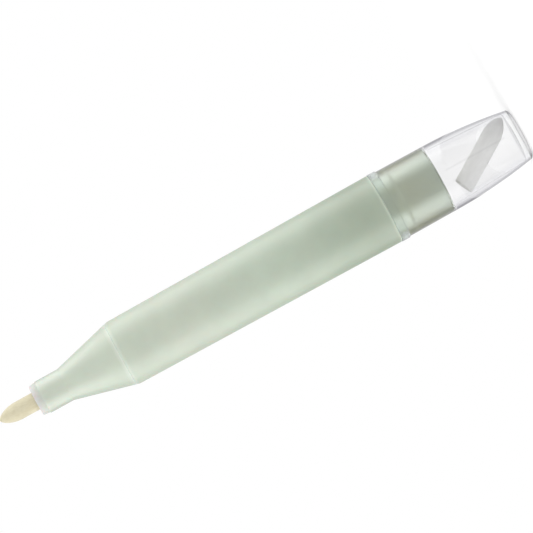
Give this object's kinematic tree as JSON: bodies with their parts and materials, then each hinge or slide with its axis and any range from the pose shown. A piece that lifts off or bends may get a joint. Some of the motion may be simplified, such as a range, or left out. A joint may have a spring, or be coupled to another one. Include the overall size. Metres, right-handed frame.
{
  "type": "nail polish corrector pen",
  "caption": "Felt-tipped pen filled with polish remover, with a replaceable bullet tip and a clear end cap that stores a spare tip.",
  "frame": {"origin": "centre of the clear end cap's flat end face, on which the pen stands", "axes": "+Z along the pen's axis, from the end cap to the felt tip; the spare tip leans towards +X at its point, and lies a little behind the axis, towards +Y"},
  "size_m": [0.0152, 0.0152, 0.1191],
  "materials": {
    "felt": "dense pressed felt, matte cream",
    "spare_felt": "dense pressed felt, matte, grey through the clear wall",
    "natural_plastic": "uncoloured milky plastic",
    "frosted_green_plastic": "frosted pale green, satin",
    "plug_plastic": "moulded, satin",
    "clear_plastic": "clear, polished",
    "fibre": "bonded fibre, matte white",
    "film": "thin film"
  },
  "bodies": {
    "cap": {"end_cap": "clear_plastic", "spare_tip": "spare_felt"},
    "pen": {"barrel": "frosted_green_plastic", "rear_plug": "plug_plastic", "reservoir_core": "fibre", "reservoir_wrap": "film", "feed_wick": "fibre", "nose_section": "frosted_green_plastic", "tip_holder": "natural_plastic"},
    "tip": {"applicator_tip": "felt"}
  },
  "joints": [
    {"name": "cap_pull", "type": "slide", "parent": "cap", "child": "pen", "axis": [0, 0, 1], "range_m": [0, 0.025]},
    {"name": "tip_pull", "type": "slide", "parent": "pen", "child": "tip", "axis": [0, 0, 1], "range_m": [0, 0.012]}
  ]
}
